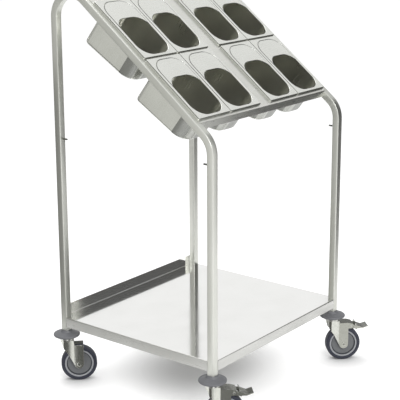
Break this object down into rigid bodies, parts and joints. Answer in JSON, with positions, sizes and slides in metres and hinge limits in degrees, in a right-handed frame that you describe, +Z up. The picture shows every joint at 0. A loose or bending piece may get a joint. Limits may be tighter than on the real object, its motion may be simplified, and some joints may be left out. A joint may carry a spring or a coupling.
{
  "type": "tray and cutlery trolley",
  "caption": "Open serving trolley of bent square tube: a sloping rack of lift-out cutlery containers over a flat tray shelf, on swivel castors with round bumpers, the front ones braked.",
  "frame": {"origin": "on the floor, under the centre of the four posts", "axes": "+Z up, -Y towards the operator and the low end of the rack, +X to the operator's right"},
  "size_m": [0.8701, 0.7921, 1.3632],
  "materials": {
    "satin_steel": "satin ground stainless steel",
    "polished_steel": "bright rolled stainless steel sheet",
    "drawn_steel": "deep-drawn stainless steel, satin",
    "pressed_steel": "pressed and zinc-plated steel, satin",
    "bright_steel": "turned steel, bright",
    "bumper_plastic": "grey moulded plastic",
    "wheel_plastic": "mid grey moulded plastic",
    "tyre_rubber": "dark blue-grey elastic rubber"
  },
  "bodies": {
    "frame": {"side_frame_left": "satin_steel", "side_frame_right": "satin_steel", "rack_panel": "satin_steel", "tray_shelf": "polished_steel", "stop_pin_front_left": "bright_steel", "stop_pin_front_right": "bright_steel", "stop_pin_rear_left": "bright_steel", "stop_pin_rear_right": "bright_steel", "bumper_front_left": "bumper_plastic", "stem_front_left": "bright_steel", "bumper_front_right": "bumper_plastic", "stem_front_right": "bright_steel", "bumper_rear_left": "bumper_plastic", "stem_rear_left": "bright_steel", "bumper_rear_right": "bumper_plastic", "stem_rear_right": "bright_steel"},
    "pan_lower_1": {"container_lower_1": "drawn_steel", "cover_lower_1": "drawn_steel"},
    "pan_lower_2": {"container_lower_2": "drawn_steel", "cover_lower_2": "drawn_steel"},
    "pan_lower_3": {"container_lower_3": "drawn_steel", "cover_lower_3": "drawn_steel"},
    "pan_lower_4": {"container_lower_4": "drawn_steel", "cover_lower_4": "drawn_steel"},
    "pan_upper_1": {"container_upper_1": "drawn_steel", "cover_upper_1": "drawn_steel"},
    "pan_upper_2": {"container_upper_2": "drawn_steel", "cover_upper_2": "drawn_steel"},
    "pan_upper_3": {"container_upper_3": "drawn_steel", "cover_upper_3": "drawn_steel"},
    "pan_upper_4": {"container_upper_4": "drawn_steel", "cover_upper_4": "drawn_steel"},
    "swivel_front_left": {"fork_front_left": "pressed_steel", "axle_front_left": "bright_steel", "pedal_pin_front_left": "bright_steel"},
    "roller_front_left": {"wheel_front_left": "wheel_plastic", "tyre_front_left": "tyre_rubber", "bush_front_left": "wheel_plastic"},
    "swivel_front_right": {"fork_front_right": "pressed_steel", "axle_front_right": "bright_steel", "pedal_pin_front_right": "bright_steel"},
    "roller_front_right": {"wheel_front_right": "wheel_plastic", "tyre_front_right": "tyre_rubber", "bush_front_right": "wheel_plastic"},
    "swivel_rear_left": {"fork_rear_left": "pressed_steel", "axle_rear_left": "bright_steel"},
    "roller_rear_left": {"wheel_rear_left": "wheel_plastic", "tyre_rear_left": "tyre_rubber", "bush_rear_left": "wheel_plastic"},
    "swivel_rear_right": {"fork_rear_right": "pressed_steel", "axle_rear_right": "bright_steel"},
    "roller_rear_right": {"wheel_rear_right": "wheel_plastic", "tyre_rear_right": "tyre_rubber", "bush_rear_right": "wheel_plastic"},
    "brake_front_left": {"pedal_front_left": "pressed_steel"},
    "brake_front_right": {"pedal_front_right": "pressed_steel"}
  },
  "joints": [
    {"name": "lift_lower_1", "type": "slide", "parent": "frame", "child": "pan_lower_1", "axis": [0, -0.6157, 0.788], "range_m": [0, 0.15]},
    {"name": "lift_lower_2", "type": "slide", "parent": "frame", "child": "pan_lower_2", "axis": [0, -0.6157, 0.788], "range_m": [0, 0.15]},
    {"name": "lift_lower_3", "type": "slide", "parent": "frame", "child": "pan_lower_3", "axis": [0, -0.6157, 0.788], "range_m": [0, 0.15]},
    {"name": "lift_lower_4", "type": "slide", "parent": "frame", "child": "pan_lower_4", "axis": [0, -0.6157, 0.788], "range_m": [0, 0.15]},
    {"name": "lift_upper_1", "type": "slide", "parent": "frame", "child": "pan_upper_1", "axis": [0, -0.6157, 0.788], "range_m": [0, 0.15]},
    {"name": "lift_upper_2", "type": "slide", "parent": "frame", "child": "pan_upper_2", "axis": [0, -0.6157, 0.788], "range_m": [0, 0.15]},
    {"name": "lift_upper_3", "type": "slide", "parent": "frame", "child": "pan_upper_3", "axis": [0, -0.6157, 0.788], "range_m": [0, 0.15]},
    {"name": "lift_upper_4", "type": "slide", "parent": "frame", "child": "pan_upper_4", "axis": [0, -0.6157, 0.788], "range_m": [0, 0.15]},
    {"name": "castor_swivel_front_left", "type": "hinge", "parent": "frame", "child": "swivel_front_left", "pos_m": [-0.3585, -0.3195, 0.15], "axis": [0, 0, 1], "continuous": true},
    {"name": "wheel_spin_front_left", "type": "hinge", "parent": "swivel_front_left", "child": "roller_front_left", "pos_m": [-0.33022, -0.34778, 0.0625], "axis": [0.7071, 0.7071, 0], "continuous": true},
    {"name": "castor_swivel_front_right", "type": "hinge", "parent": "frame", "child": "swivel_front_right", "pos_m": [0.3585, -0.3195, 0.15], "axis": [0, 0, 1], "continuous": true},
    {"name": "wheel_spin_front_right", "type": "hinge", "parent": "swivel_front_right", "child": "roller_front_right", "pos_m": [0.38678, -0.34778, 0.0625], "axis": [0.7071, 0.7071, 0], "continuous": true},
    {"name": "castor_swivel_rear_left", "type": "hinge", "parent": "frame", "child": "swivel_rear_left", "pos_m": [-0.3585, 0.3195, 0.15], "axis": [0, 0, 1], "continuous": true},
    {"name": "wheel_spin_rear_left", "type": "hinge", "parent": "swivel_rear_left", "child": "roller_rear_left", "pos_m": [-0.33022, 0.29122, 0.0625], "axis": [0.7071, 0.7071, 0], "continuous": true},
    {"name": "castor_swivel_rear_right", "type": "hinge", "parent": "frame", "child": "swivel_rear_right", "pos_m": [0.3585, 0.3195, 0.15], "axis": [0, 0, 1], "continuous": true},
    {"name": "wheel_spin_rear_right", "type": "hinge", "parent": "swivel_rear_right", "child": "roller_rear_right", "pos_m": [0.38678, 0.29122, 0.0625], "axis": [0.7071, 0.7071, 0], "continuous": true},
    {"name": "brake_pedal_front_left", "type": "hinge", "parent": "swivel_front_left", "child": "brake_front_left", "pos_m": [-0.31183, -0.36617, 0.131], "axis": [0.7071, 0.7071, 0], "range_deg": [0, 14]},
    {"name": "brake_pedal_front_right", "type": "hinge", "parent": "swivel_front_right", "child": "brake_front_right", "pos_m": [0.40517, -0.36617, 0.131], "axis": [0.7071, 0.7071, 0], "range_deg": [0, 14]}
  ]
}
